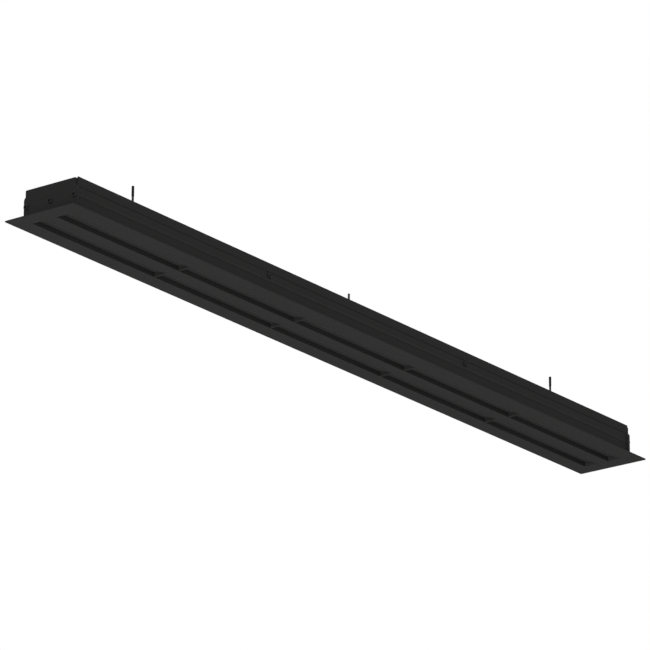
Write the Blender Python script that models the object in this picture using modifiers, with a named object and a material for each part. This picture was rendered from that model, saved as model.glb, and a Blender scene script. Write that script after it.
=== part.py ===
"""Linear ventilation grille for a ceiling, with two slots one metre long.

Three extruded rails run between two end caps. Each slot holds a row of hinged deflector blades on one long
hinge rod, which the spacer plates carry. Two tie bars join the side rails over the centre rail, and three
suspension rods stand in the centre rail's channel. Metres, +Z up. X runs along the slots, the visible face
lies in Z = 0, and the origin is the middle of that face.
"""

import math

import bmesh
import bpy
from mathutils import Matrix

# Body and face
BODY_LENGTH = 1.0  # between the inner faces of the end plates
FLANGE_WIDTH = 0.0915
FLANGE_THICKNESS = 0.0012
END_OVERHANG = 0.0209  # of the flange, beyond the end plate's inner face
EDGE_CHAMFER = 0.00015  # on the side rails' flange, along its lower edge
CORNER_RADIUS = 0.0012  # of the flange's four corners
CENTRE_BAR_WIDTH = 0.0135
SLOT_WIDTH = 0.0189
CLEARANCE = 0.0003  # between pieces that touch

# Side rails
WALL = 0.0015
LEG_HEIGHT = 0.022  # of the leg beside the slot
LIP_HEIGHT = 0.0385  # top of the leaning lip
LIP_GAP = 0.0003  # from the side screws' heads up to the step under the lip
LEDGE_OUT = 0.00035  # how far the ledge under the lip stands out
LEDGE_RISE = 0.0003
LIP_LEAN = 0.0009  # how far the lip leans out over its height

# Screw ports, open on one side, which the end screws run into
PORT_HEIGHT = 0.0187
PORT_INSET = 0.0013  # of a side port's middle, from the wall's outer face
PORT_GAP = 0.0029  # from the leg beside the slot to a side port
PORT_BORE = 0.00145  # radius
PORT_WALL = 0.0006
PORT_SLIT = 0.0012
RIDGE_OUT = 0.00065  # of the low ridge outside a side port
RIDGE_WIDTH = 0.0040

# Centre rail
CHANNEL_RISE = 0.0103  # of the rail's top, over the middle of its port
CHANNEL_GAP = 0.005  # between the lips over the nut channel

# End caps
END_PLATE_MARGIN = 0.00145  # beyond the side ports
END_PLATE_HEIGHT = 0.0373
END_PLATE_THICKNESS = 0.0030
SHOULDER_HEIGHT = 0.0293
SHOULDER_DROP = 0.0043
SHOULDER_REACH = 0.0021
TOP_CORNER_CUT = 0.0008

# Spacers
SPACER_PITCH = 0.2
SPACERS_PER_SLOT = 4
SPACER_THICKNESS = 0.0012
SPACER_HEIGHT = 0.0220
SPACER_CORNER_CUT = 0.0025
FACE_SETBACK = 0.0001  # of everything in the slots, behind the face

# Deflector blades and their hinge
HINGE_ROD_RADIUS = 0.0008
BARREL_WALL = 0.0006
BARREL_SLIT_FROM = math.radians(105)
BARREL_SLIT_TO = math.radians(150)
BLADE_THICKNESS = 0.0008
BLADE_TIP_GAP = 0.0018  # from the blade's tip to the far wall of the slot
BLADE_ROOT_RISE = 0.0008  # of the blade's underside over the hinge line
BLADE_TIP_RISE = 0.0026
BLADE_BULGE = 0.00025  # of the underside over its chord
BLADE_END_PLAY = 0.0005
ROD_SOCKET_DEPTH = 0.0011  # in the inner face of each end plate

# Tie bars
TIE_BAR_X = 0.179
TIE_BAR_WIDTH = 0.018
TIE_BAR_THICKNESS = 0.0020
TIE_BAR_BEND = 0.0010  # inner radius
TIE_TAB_RISE = 0.00125  # of a tab's end, over the side port
SIDE_SCREW_EDGE = 0.0028  # from a tab's end up to the screw in it

# Screws
SCREW_HEAD_RADIUS = 0.0034
SCREW_HEAD_HEIGHT = 0.0020
SCREW_HEAD_RIM = 0.0003  # straight edge under the dome
SCREW_SHANK_RADIUS = 0.00115
END_SCREW_LENGTH = 0.0145
SIDE_SCREW_LENGTH = 0.0060
SOCKET_ACROSS_FLATS = 0.0030
SOCKET_DEPTH = 0.0014

# Suspension rods
LEFT_ROD_INSET = 0.1302  # of the left rod, from the left end plate
MIDDLE_ROD_X = 0.007
RIGHT_ROD_INSET = 0.1068
HANGER_ROD_RADIUS = 0.0013
HANGER_ROD_TOP = 0.0654  # of the middle rod, which has no sleeve
SLEEVED_ROD_TOP = 0.0638
SLEEVE_RADIUS = 0.00145
SLEEVE_WALL = 0.00035
SLEEVE_LENGTH = 0.0117
SPIGOT_LENGTH = 0.0080  # of the thin end that carries the sleeve
CHANNEL_NUT_LENGTH = 0.0080
CHANNEL_NUT_THICKNESS = 0.0030
LOCK_NUT_ACROSS_FLATS = 0.0055
LOCK_NUT_THICKNESS = 0.0022

half_length = BODY_LENGTH / 2
half_flange = FLANGE_WIDTH / 2
half_bar = CENTRE_BAR_WIDTH / 2
slot_side = half_bar + SLOT_WIDTH
rail_length = BODY_LENGTH - 2 * CLEARANCE
port_outer = PORT_BORE + PORT_WALL
port_y = slot_side + WALL + PORT_GAP + port_outer
wall_outer = port_y + PORT_INSET
wall_inner = wall_outer - WALL
centre_rail_height = PORT_HEIGHT + CHANNEL_RISE
tie_tab_foot = PORT_HEIGHT + port_outer + TIE_TAB_RISE
side_screw_height = tie_tab_foot + SIDE_SCREW_EDGE
lip_start = side_screw_height + SCREW_HEAD_RADIUS + LIP_GAP
slots = {"front": -slot_side, "rear": half_bar}  # the side of each slot where its blades are hinged
barrel_radius = HINGE_ROD_RADIUS + CLEARANCE + BARREL_WALL
hinge_height = FACE_SETBACK + barrel_radius
rod_places = (-half_length + LEFT_ROD_INSET, MIDDLE_ROD_X, half_length - RIGHT_ROD_INSET)
spacer_places = [(i - (SPACERS_PER_SLOT - 1) / 2) * SPACER_PITCH for i in range(SPACERS_PER_SLOT)]


def new_collection(name):
    collection = bpy.data.collections.new(name)
    bpy.context.scene.collection.children.link(collection)
    return collection


def material(name, colour, roughness, metallic):
    """A Principled material of one colour, given as sRGB grey levels from 0 to 1."""
    made = bpy.data.materials.new(name)
    made.use_nodes = True
    shader = made.node_tree.nodes["Principled BSDF"]
    shader.inputs["Base Color"].default_value = (*(c**2.2 for c in colour), 1.0)
    shader.inputs["Roughness"].default_value = roughness
    shader.inputs["Metallic"].default_value = metallic
    return made


for old in list(bpy.data.objects):
    bpy.data.objects.remove(old, do_unlink=True)

parts = new_collection("linear_ventilation_grille")
cutters = new_collection("cutters")

rail_coat = material("rail_black_powder_coat", (0.19, 0.19, 0.19), 0.55, 0.0)
cap_coat = material("end_cap_black_powder_coat", (0.19, 0.19, 0.19), 0.55, 0.0)
spacer_coat = material("spacer_black_powder_coat", (0.18, 0.18, 0.18), 0.55, 0.0)
blade_coat = material("blade_black_coat", (0.17, 0.17, 0.17), 0.5, 0.0)
hinge_rod_steel = material("hinge_rod_zinc_plated_steel", (0.42, 0.42, 0.41), 0.4, 0.9)
tie_bar_steel = material("tie_bar_zinc_plated_steel", (0.55, 0.55, 0.54), 0.45, 0.9)
screw_steel = material("screw_black_steel", (0.16, 0.16, 0.16), 0.4, 0.8)
hanger_rod_steel = material("hanger_rod_zinc_plated_steel", (0.42, 0.42, 0.41), 0.4, 0.9)
channel_nut_steel = material("channel_nut_zinc_plated_steel", (0.5, 0.5, 0.49), 0.45, 0.9)
lock_nut_steel = material("lock_nut_zinc_plated_steel", (0.5, 0.5, 0.49), 0.4, 0.9)
sleeve_plastic = material("sleeve_black_plastic", (0.12, 0.12, 0.12), 0.5, 0.0)


def arc(centre, radius, start, end, steps):
    """Points on an arc about centre, from the start angle to the end angle, both in radians."""
    angles = [start + (end - start) * i / steps for i in range(steps + 1)]
    return [(centre[0] + radius * math.cos(a), centre[1] + radius * math.sin(a)) for a in angles]


def circle(centre, radius, steps):
    return arc(centre, radius, 0.0, math.tau, steps)[:-1]


def mirrored(outline):
    """The outline turned over to the other side of the object, still in the same winding."""
    return [(-y, z) for y, z in reversed(outline)]


# Turns that lay an outline's own plane into YZ, XZ or XY
PLANES = {
    "YZ": Matrix(((0, 0, 1), (1, 0, 0), (0, 1, 0))).to_4x4(),
    "XZ": Matrix(((1, 0, 0), (0, 0, -1), (0, 1, 0))).to_4x4(),
    "XY": Matrix.Identity(4),
}


def extruded(name, outlines, plane, thickness, at, finish, collection=None):
    """A flat outline with its holes, given its thickness across the plane and centred on the point at."""
    curve = bpy.data.curves.new(name, "CURVE")
    curve.dimensions = "2D"
    curve.fill_mode = "BOTH"
    curve.extrude = thickness / 2
    for outline in outlines:
        spline = curve.splines.new("POLY")
        spline.points.add(len(outline) - 1)
        for point, (x, y) in zip(spline.points, outline):
            point.co = (x, y, 0.0, 1.0)
        spline.use_cyclic_u = True
    drawn = bpy.data.objects.new(name + "_outline", curve)
    bpy.context.scene.collection.objects.link(drawn)
    drawn.matrix_world = PLANES[plane]
    graph = bpy.context.evaluated_depsgraph_get()
    mesh = bpy.data.meshes.new_from_object(drawn.evaluated_get(graph))
    mesh.transform(PLANES[plane])
    bpy.data.objects.remove(drawn, do_unlink=True)
    shape = bmesh.new()
    shape.from_mesh(mesh)
    bmesh.ops.remove_doubles(shape, verts=shape.verts, dist=1e-7)
    bmesh.ops.recalc_face_normals(shape, faces=shape.faces)
    shape.to_mesh(mesh)
    shape.free()
    return placed(name, mesh, at, finish, collection)


def placed(name, mesh, at, finish, collection=None):
    made = bpy.data.objects.new(name, mesh)
    made.location = at
    if finish is not None and not mesh.materials:
        mesh.materials.append(finish)
    (collection or parts).objects.link(made)
    return made


def box_outline(low, high):
    return [(low[0], low[1]), (high[0], low[1]), (high[0], high[1]), (low[0], high[1])]


def boolean(target, operation, tool):
    """A live Boolean whose tool is kept out of the model."""
    if tool.name not in cutters.objects:
        for collection in list(tool.users_collection):
            collection.objects.unlink(tool)
        cutters.objects.link(tool)
    tool.hide_render = True
    tool.display_type = "WIRE"
    step = target.modifiers.new(operation.lower() + "_" + tool.name, "BOOLEAN")
    step.operation = operation
    step.solver = "EXACT"
    step.object = tool


def shade_round(mesh):
    mesh.shade_smooth()
    mesh.set_sharp_from_angle(angle=math.radians(35))


def lip_outline():
    """The leaning lip at the top of a side rail's wall, from its outer foot over the top to its inner foot."""
    ledge = wall_outer + LEDGE_OUT
    top = ledge + LIP_LEAN
    return [
        (wall_outer, lip_start),
        (ledge, lip_start + LEDGE_RISE),
        (top, LIP_HEIGHT),
        (top - WALL, LIP_HEIGHT),
        (ledge - WALL, lip_start + LEDGE_RISE + WALL / 2),
        (wall_inner, lip_start + WALL),
    ]


def side_rail_outline():
    """Section of the rear rail in Y and Z: flange, outer wall with its screw port, lip, and leg at the slot."""
    chamfer = EDGE_CHAMFER
    port = (port_y, PORT_HEIGHT)
    ridge_radius = ((RIDGE_WIDTH / 2) ** 2 + RIDGE_OUT**2) / (2 * RIDGE_OUT)
    ridge_centre = (wall_outer + RIDGE_OUT - ridge_radius, PORT_HEIGHT)
    ridge = math.asin(RIDGE_WIDTH / 2 / ridge_radius)
    inside = math.acos((wall_inner - port_y) / port_outer)
    slit_outer = math.asin(PORT_SLIT / 2 / port_outer)
    slit_inner = math.asin(PORT_SLIT / 2 / PORT_BORE)
    return [
        (slot_side, 0.0),
        (half_flange - chamfer, 0.0),
        (half_flange, chamfer),
        (half_flange, FLANGE_THICKNESS),
        (wall_outer, FLANGE_THICKNESS),
        *arc(ridge_centre, ridge_radius, -ridge, ridge, 8),
        *lip_outline(),
        *arc(port, port_outer, inside, math.pi - slit_outer, 4),
        *arc(port, PORT_BORE, math.pi - slit_inner, slit_inner - math.pi, 14),
        *arc(port, port_outer, slit_outer - math.pi, -inside, 4),
        (wall_inner, FLANGE_THICKNESS),
        (slot_side + WALL, FLANGE_THICKNESS),
        (slot_side + WALL, LEG_HEIGHT),
        (slot_side, LEG_HEIGHT),
    ]


def centre_rail_outlines():
    """Section of the centre rail: box walls, a web that carries the screw port, and the nut channel's lips."""
    inner = half_bar - WALL
    web = math.asin(WALL / 2 / port_outer)
    slit_outer = math.asin(PORT_SLIT / 2 / port_outer)
    slit_inner = math.asin(PORT_SLIT / 2 / PORT_BORE)
    up = math.pi / 2
    port = (0.0, PORT_HEIGHT)
    lip_under = centre_rail_height - WALL
    channel = [
        (CHANNEL_GAP / 2, centre_rail_height),
        (CHANNEL_GAP / 2, lip_under),
        (inner, lip_under),
        (inner, PORT_HEIGHT + WALL / 2),
        *arc(port, port_outer, web, up - slit_outer, 5),
        *arc(port, PORT_BORE, up - slit_inner, up + slit_inner - math.tau, 14),
        *arc(port, port_outer, up + slit_outer, math.pi - web, 5),
        (-inner, PORT_HEIGHT + WALL / 2),
        (-inner, lip_under),
        (-CHANNEL_GAP / 2, lip_under),
        (-CHANNEL_GAP / 2, centre_rail_height),
    ]
    walls = [
        (-half_bar, centre_rail_height),
        (-half_bar, 0.0),
        (half_bar, 0.0),
        (half_bar, centre_rail_height),
    ]
    chamber = [
        (-inner, FLANGE_THICKNESS),
        (inner, FLANGE_THICKNESS),
        (inner, PORT_HEIGHT - WALL / 2),
        *arc(port, port_outer, -web, web - math.pi, 8),
        (-inner, PORT_HEIGHT - WALL / 2),
    ]
    return [channel + walls, chamber]


def build_rails():
    section = side_rail_outline()
    front = extruded("front_rail", [mirrored(section)], "YZ", rail_length, (0, 0, 0), rail_coat)
    rear = extruded("rear_rail", [section], "YZ", rail_length, (0, 0, 0), rail_coat)
    extruded("centre_rail", centre_rail_outlines(), "YZ", rail_length, (0, 0, 0), rail_coat)
    for rail, side in ((front, -1), (rear, 1)):
        for x in (-TIE_BAR_X, TIE_BAR_X):
            boolean(rail, "DIFFERENCE", drill(f"{rail.name}_{'left' if x < 0 else 'right'}", x, side))


def drill(name, x, side):
    """A round cutter for a side screw, through the wall of a side rail and the tab behind it."""
    hole = circle((x, side_screw_height), PORT_BORE, 16)
    at = (0.0, side * wall_inner, 0.0)
    depth = 2 * (TIE_BAR_THICKNESS + WALL)
    return extruded("drill_" + name, [hole], "XZ", depth, at, None, cutters)


def end_plate_outline():
    """The end plate: full width below, rounded shoulders, and narrower above them so that the lips show."""
    wide = port_y + port_outer + END_PLATE_MARGIN
    narrow = wide - SHOULDER_REACH
    low = SHOULDER_HEIGHT - SHOULDER_DROP
    right = [(wide, 0.0)]
    for step in range(6):
        turn = math.pi / 2 * step / 5
        right.append((wide - SHOULDER_REACH * (1 - math.cos(turn)), low + SHOULDER_DROP * math.sin(turn)))
    right += [
        (narrow, END_PLATE_HEIGHT - TOP_CORNER_CUT),
        (narrow - TOP_CORNER_CUT, END_PLATE_HEIGHT),
    ]
    return right + [(-y, z) for y, z in reversed(right)]


def hinge_y(slot):
    """Where the hinge line of a slot's blades lies, close to the slot's -Y wall."""
    return slots[slot] + CLEARANCE + barrel_radius


def build_end_cap(name, side):
    """A plate that closes the rails' ends, with a flange strip that continues the face."""
    holes = [circle((y, PORT_HEIGHT), PORT_BORE, 16) for y in (-port_y, 0.0, port_y)]
    plate_x = side * (half_length + END_PLATE_THICKNESS / 2)
    cap = extruded(
        name, [end_plate_outline(), *holes], "YZ", END_PLATE_THICKNESS, (plate_x, 0, 0), cap_coat
    )
    corner = (END_OVERHANG - CORNER_RADIUS, half_flange - CORNER_RADIUS)
    outer_edge = arc(corner, CORNER_RADIUS, 0.0, math.pi / 2, 4) + [(0.0, half_flange)]
    strip = outer_edge + [(x, -y) for x, y in reversed(outer_edge)]
    flange_at = (side * half_length, 0.0, FLANGE_THICKNESS / 2)
    turned = [(side * x, y) for x, y in strip]
    boolean(cap, "UNION", extruded(name + "_flange", [turned], "XY", FLANGE_THICKNESS, flange_at, None))
    for slot in slots:
        hole = circle((hinge_y(slot), hinge_height), HINGE_ROD_RADIUS + CLEARANCE, 12)
        at = (side * half_length, 0.0, 0.0)
        socket = extruded(f"{name}_{slot}_socket", [hole], "YZ", 2 * ROD_SOCKET_DEPTH, at, None)
        boolean(cap, "DIFFERENCE", socket)


def build_spacers(slot):
    """Plates across the slot, between the throat walls, that hold the hinge rod near their lower corner."""
    low = (slots[slot] + CLEARANCE, FACE_SETBACK)
    high = (slots[slot] + SLOT_WIDTH - CLEARANCE, SPACER_HEIGHT)
    cut = SPACER_CORNER_CUT
    plate = [
        low,
        (high[0], low[1]),
        (high[0], high[1] - cut),
        (high[0] - cut, high[1]),
        (low[0] + cut, high[1]),
        (low[0], high[1] - cut),
    ]
    rod_hole = circle((hinge_y(slot), hinge_height), HINGE_ROD_RADIUS + CLEARANCE, 12)
    for number, x in enumerate(spacer_places, 1):
        extruded(
            f"{slot}_spacer_{number}", [plate, rod_hole], "YZ", SPACER_THICKNESS, (x, 0, 0), spacer_coat
        )


def blade_outline():
    """Section of a blade about its hinge line: a rolled barrel with a slit, and a bowed vane to the tip."""
    root_y = math.sqrt(barrel_radius**2 - BLADE_ROOT_RISE**2)
    reach = SLOT_WIDTH - CLEARANCE - barrel_radius - BLADE_TIP_GAP - BLADE_THICKNESS / 2
    under = []
    for i in range(9):
        t = i / 8
        y = root_y + (reach - root_y) * t
        rise = BLADE_ROOT_RISE + (BLADE_TIP_RISE - BLADE_ROOT_RISE) * t + 4 * BLADE_BULGE * t * (1 - t)
        under.append((y, rise))
    over = [(y, z + BLADE_THICKNESS) for y, z in reversed(under[1:])]
    tip_centre = (reach, BLADE_TIP_RISE + BLADE_THICKNESS / 2)
    tip = arc(tip_centre, BLADE_THICKNESS / 2, -math.pi / 2, math.pi / 2, 6)[1:-1]
    root_angle = math.atan2(BLADE_ROOT_RISE, root_y)
    over_angle = math.asin((BLADE_ROOT_RISE + BLADE_THICKNESS) / barrel_radius)
    bore = barrel_radius - BARREL_WALL
    return [
        *under,
        *tip,
        *over,
        *arc((0, 0), barrel_radius, over_angle, BARREL_SLIT_FROM, 2),
        *arc((0, 0), bore, BARREL_SLIT_FROM, BARREL_SLIT_TO - math.tau, 16),
        *arc((0, 0), barrel_radius, BARREL_SLIT_TO, root_angle + math.tau, 13)[:-1],
    ]


def build_blades(slot):
    """One blade in each bay of the slot, with its origin on the hinge line."""
    faces = [-half_length]
    for x in spacer_places:
        faces += [x - SPACER_THICKNESS / 2, x + SPACER_THICKNESS / 2]
    faces.append(half_length)
    for number, (start, end) in enumerate(zip(faces[::2], faces[1::2]), 1):
        length = end - start - 2 * BLADE_END_PLAY
        at = ((start + end) / 2, hinge_y(slot), hinge_height)
        blade = extruded(f"{slot}_blade_{number}", [blade_outline()], "YZ", length, at, blade_coat)
        shade_round(blade.data)


def build_hinge_rod(slot):
    section = circle((0.0, 0.0), HINGE_ROD_RADIUS, 12)
    length = BODY_LENGTH + 2 * (ROD_SOCKET_DEPTH - CLEARANCE)
    at = (0.0, hinge_y(slot), hinge_height)
    shade_round(extruded(f"{slot}_hinge_rod", [section], "YZ", length, at, hinge_rod_steel).data)


def tie_bar_outline():
    """A flat strip over the centre rail, bent down at both ends into tabs against the rails' walls."""
    outer = wall_inner - CLEARANCE
    under = centre_rail_height + CLEARANCE
    over = under + TIE_BAR_THICKNESS
    inner = outer - TIE_BAR_THICKNESS
    bend = TIE_BAR_BEND
    big = TIE_BAR_BEND + TIE_BAR_THICKNESS
    centre = (inner - bend, under - bend)
    right = [
        *arc(centre, bend, math.pi / 2, 0.0, 4),
        (inner, tie_tab_foot),
        (outer, tie_tab_foot),
        *arc(centre, big, 0.0, math.pi / 2, 4),
    ]
    return right + [(-y, z) for y, z in reversed(right)]


def build_tie_bars():
    for name, x in (("left_tie_bar", -TIE_BAR_X), ("right_tie_bar", TIE_BAR_X)):
        bar = extruded(name, [tie_bar_outline()], "YZ", TIE_BAR_WIDTH, (x, 0, 0), tie_bar_steel)
        boolean(bar, "DIFFERENCE", drill(name + "_front", x, -1))
        boolean(bar, "DIFFERENCE", drill(name + "_rear", x, 1))


def screw_mesh(name, length):
    """A domed screw, turned about Z with its head's seat in Z = 0, and a hexagon socket in the head."""
    dome_steps = 6
    sphere_rise = SCREW_HEAD_HEIGHT - SCREW_HEAD_RIM
    profile = []
    for i in range(dome_steps + 1):
        a = math.pi / 2 * (1 - i / dome_steps)
        profile.append((SCREW_HEAD_RADIUS * math.cos(a), SCREW_HEAD_RIM + sphere_rise * math.sin(a)))
    tip = SCREW_SHANK_RADIUS
    profile += [
        (SCREW_HEAD_RADIUS, 0.0),
        (SCREW_SHANK_RADIUS, 0.0),
        (SCREW_SHANK_RADIUS, -length + tip),
        (0.0, -length),
    ]
    mesh = bpy.data.meshes.new(name)
    edges = [(i, i + 1) for i in range(len(profile) - 1)]
    mesh.from_pydata([(x, 0.0, z) for x, z in profile], edges, [])
    turned = placed(name + "_turned", mesh, (0, 0, 0), screw_steel)
    spin = turned.modifiers.new("turn", "SCREW")
    spin.steps = 16
    spin.render_steps = 16
    spin.use_merge_vertices = True
    spin.merge_threshold = 0.00001
    corner = SOCKET_ACROSS_FLATS / math.sqrt(3)
    socket = extruded(
        name + "_socket",
        [circle((0.0, 0.0), corner, 6)],
        "XY",
        2 * SOCKET_DEPTH,
        (0.0, 0.0, SCREW_HEAD_HEIGHT),
        None,
    )
    boolean(turned, "DIFFERENCE", socket)
    graph = bpy.context.evaluated_depsgraph_get()
    finished = bpy.data.meshes.new_from_object(turned.evaluated_get(graph))
    finished.name = name
    bpy.data.objects.remove(turned, do_unlink=True)
    bpy.data.objects.remove(socket, do_unlink=True)
    shade_round(finished)
    return finished


def build_screws():
    end_screw = screw_mesh("end_screw", END_SCREW_LENGTH)
    seat = half_length + END_PLATE_THICKNESS + CLEARANCE
    for end, side in (("left", -1), ("right", 1)):
        for number, y in enumerate((-port_y, 0.0, port_y), 1):
            screw = placed(f"{end}_end_screw_{number}", end_screw, (side * seat, y, PORT_HEIGHT), None)
            screw.rotation_euler = (0.0, side * math.pi / 2, 0.0)
    side_screw = screw_mesh("side_screw", SIDE_SCREW_LENGTH)
    seat = wall_outer + CLEARANCE
    for rail, side in (("front", -1), ("rear", 1)):
        for end, x in (("left", -TIE_BAR_X), ("right", TIE_BAR_X)):
            screw = placed(
                f"{rail}_side_screw_{end}", side_screw, (x, side * seat, side_screw_height), None
            )
            screw.rotation_euler = (-side * math.pi / 2, 0.0, 0.0)


def turned_rod(name, profile, at, finish):
    """A round piece: its profile runs from the axis at the top, down the outer side, to the axis below."""
    mesh = bpy.data.meshes.new(name)
    edges = [(i, i + 1) for i in range(len(profile) - 1)]
    mesh.from_pydata([(x, 0.0, z) for x, z in profile], edges, [])
    made = placed(name, mesh, at, finish)
    spin = made.modifiers.new("turn", "SCREW")
    spin.steps = 12
    spin.render_steps = 12
    spin.use_merge_vertices = True
    spin.merge_threshold = 0.00001
    shade_round(mesh)


def build_hangers():
    """Rods that stand in nuts in the centre rail's channel, each with a lock nut above the channel's lips."""
    lip_under = centre_rail_height - WALL
    nut_top = lip_under - CLEARANCE
    nut_bottom = nut_top - CHANNEL_NUT_THICKNESS
    nut_half = half_bar - WALL - CLEARANCE
    bore = HANGER_ROD_RADIUS + CLEARANCE
    lock_middle = centre_rail_height + CLEARANCE + LOCK_NUT_THICKNESS / 2
    middle = len(rod_places) // 2
    spigot = SLEEVE_RADIUS - SLEEVE_WALL - CLEARANCE
    for index, x in enumerate(rod_places):
        number = index + 1
        plate = box_outline((-CHANNEL_NUT_LENGTH / 2, -nut_half), (CHANNEL_NUT_LENGTH / 2, nut_half))
        extruded(
            f"channel_nut_{number}",
            [plate, circle((0.0, 0.0), bore, 12)],
            "XY",
            CHANNEL_NUT_THICKNESS,
            (x, 0.0, (nut_top + nut_bottom) / 2),
            channel_nut_steel,
        )
        extruded(
            f"lock_nut_{number}",
            [circle((0.0, 0.0), LOCK_NUT_ACROSS_FLATS / math.sqrt(3), 6), circle((0.0, 0.0), bore, 12)],
            "XY",
            LOCK_NUT_THICKNESS,
            (x, 0.0, lock_middle),
            lock_nut_steel,
        )
        radius = HANGER_ROD_RADIUS
        if index == middle:
            profile = [(0.0, HANGER_ROD_TOP), (radius, HANGER_ROD_TOP)]
        else:
            spigot_top = SLEEVED_ROD_TOP + SPIGOT_LENGTH
            profile = [
                (0.0, spigot_top),
                (spigot, spigot_top),
                (spigot, SLEEVED_ROD_TOP),
                (radius, SLEEVED_ROD_TOP),
            ]
            build_sleeve(f"rod_sleeve_{number}", x)
        profile += [(radius, nut_bottom), (0.0, nut_bottom)]
        turned_rod(f"hanger_rod_{number}", profile, (x, 0.0, 0.0), hanger_rod_steel)


def build_sleeve(name, x):
    """A plastic end sleeve, open below, on the thin end of a rod."""
    low = SLEEVED_ROD_TOP + CLEARANCE
    top = low + SLEEVE_LENGTH
    bore = SLEEVE_RADIUS - SLEEVE_WALL
    ceiling = SLEEVED_ROD_TOP + SPIGOT_LENGTH + CLEARANCE
    profile = [
        (0.0, top),
        (SLEEVE_RADIUS - SLEEVE_WALL / 2, top),
        (SLEEVE_RADIUS, top - SLEEVE_WALL / 2),
        (SLEEVE_RADIUS, low),
        (bore, low),
        (bore, ceiling),
        (0.0, ceiling),
    ]
    turned_rod(name, profile, (x, 0.0, 0.0), sleeve_plastic)


build_rails()
build_end_cap("left_end_cap", -1)
build_end_cap("right_end_cap", 1)
for slot_name in slots:
    build_spacers(slot_name)
    build_blades(slot_name)
    build_hinge_rod(slot_name)
build_tie_bars()
build_screws()
build_hangers()
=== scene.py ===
import math

import bpy
import numpy as np
from mathutils import Matrix
from mathutils.geometry import tessellate_polygon


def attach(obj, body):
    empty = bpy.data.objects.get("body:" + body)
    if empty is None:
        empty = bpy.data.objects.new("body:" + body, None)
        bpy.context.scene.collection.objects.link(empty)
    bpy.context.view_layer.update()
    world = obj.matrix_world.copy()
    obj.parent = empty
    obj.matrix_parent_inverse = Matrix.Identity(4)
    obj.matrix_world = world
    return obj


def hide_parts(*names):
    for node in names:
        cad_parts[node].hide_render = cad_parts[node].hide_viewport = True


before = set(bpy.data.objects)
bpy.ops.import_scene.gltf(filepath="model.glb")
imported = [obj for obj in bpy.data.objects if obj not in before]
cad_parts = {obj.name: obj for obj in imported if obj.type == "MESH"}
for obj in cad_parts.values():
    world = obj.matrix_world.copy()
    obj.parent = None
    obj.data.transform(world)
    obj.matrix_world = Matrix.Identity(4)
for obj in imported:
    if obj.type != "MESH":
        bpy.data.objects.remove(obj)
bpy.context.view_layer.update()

# The two side rails are aluminium extrusions, sawn to a metre. Each carries half of the visible face, the
# outer wall with a leaning lip, and a screw port behind a long low ridge. They are drilled for the side
# screws and coated with a fine matte black powder, which is baked on.

RAIL_END = 0.49997
SLOT_SIDE = 0.02565  # outer side of each slot
FLANGE_EDGE = 0.04575
FLANGE = 0.0012
WALL = 0.0015
WALL_OUTER = 0.0334
WALL_INNER = WALL_OUTER - WALL
LEG_TOP = 0.022
PORT_Y = 0.0321
PORT_Z = 0.0187
PORT_BORE = 0.00145
PORT_OUTER = 0.00205
PORT_SLIT = 0.0012
RIDGE_OUT = 0.00065
RIDGE_HALF = 0.0020
GROOVE_FOOT = 0.0281  # shadow groove under the lip
GROOVE_IN = 0.0004
LEDGE_Y = 0.03375
LEDGE_Z = 0.0288
LIP_TOP = 0.0385
LIP_TOP_Y = 0.03465
SIDE_SCREW_X = 0.179
SIDE_SCREW_Z = 0.0248
SIDE_HOLE = 0.0016  # radius
SAWN_RIM = 0.00004  # rounding of the sawn ends
SHARP_FROM = math.radians(32)
NARROW_FACE = 0.00035


def arc(centre, radius, start, end, steps):
    """Rows of (across, up, 0) on a circle about centre, at even angles from start to end in radians."""
    angle = np.linspace(start, end, steps + 1)
    across = centre[0] + radius * np.cos(angle)
    up = centre[1] + radius * np.sin(angle)
    return np.stack([across, up, np.zeros_like(angle)], axis=1)


def eased(corners, steps=3):
    """A closed outline from rows of (across, up, radius), each corner rounded by its own radius.

    The arc's middle lies on the bisector of the corner, at radius / sin(half angle) from it, and the
    points turn evenly from where the arc touches one side to where it touches the other.
    """
    corners = np.asarray(corners, float)
    point, radius = corners[:, :2], corners[:, 2:]
    back = np.roll(point, 1, axis=0) - point
    ahead = np.roll(point, -1, axis=0) - point
    back /= np.linalg.norm(back, axis=1, keepdims=True)
    ahead /= np.linalg.norm(ahead, axis=1, keepdims=True)
    half = np.arccos(np.clip((back * ahead).sum(1, keepdims=True), -1.0, 1.0)) / 2
    bisector = back + ahead
    bisector /= np.maximum(np.linalg.norm(bisector, axis=1, keepdims=True), 1e-9)
    middle = point + bisector * radius / np.sin(half)
    first = point + back * radius / np.tan(half) - middle
    last = point + ahead * radius / np.tan(half) - middle
    turn = np.maximum(math.pi - 2 * half, 1e-6)
    share = np.linspace(0.0, 1.0, steps + 1)[:, None, None]
    rounded = middle + (np.sin((1 - share) * turn) * first + np.sin(share * turn) * last) / np.sin(turn)
    sharp = (radius < 1e-9).ravel()
    rounded[:, sharp] = point[sharp]
    keep = np.ones(rounded.shape[:2], bool)
    keep[1:, sharp] = False
    return rounded.transpose(1, 0, 2)[keep.T]


def wound(outline, turn):
    """The outline in the given sense: 1 for anticlockwise, -1 for clockwise, by the sign of its area."""
    ahead = np.roll(outline, -1, axis=0)
    twice_area = (outline[:, 0] * ahead[:, 1] - ahead[:, 0] * outline[:, 1]).sum()
    return outline if twice_area * turn > 0 else outline[::-1]


def drawn_in(outline, depth):
    """The outline moved into its material by depth: each corner goes along the mitre of its two sides."""
    side = np.roll(outline, -1, axis=0) - outline
    side /= np.linalg.norm(side, axis=1, keepdims=True)
    out = np.stack([side[:, 1], -side[:, 0]], axis=1)
    before = np.roll(out, 1, axis=0)
    mitre = (before + out) / np.maximum(1 + (before * out).sum(1, keepdims=True), 0.2)
    return outline - depth * mitre


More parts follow.
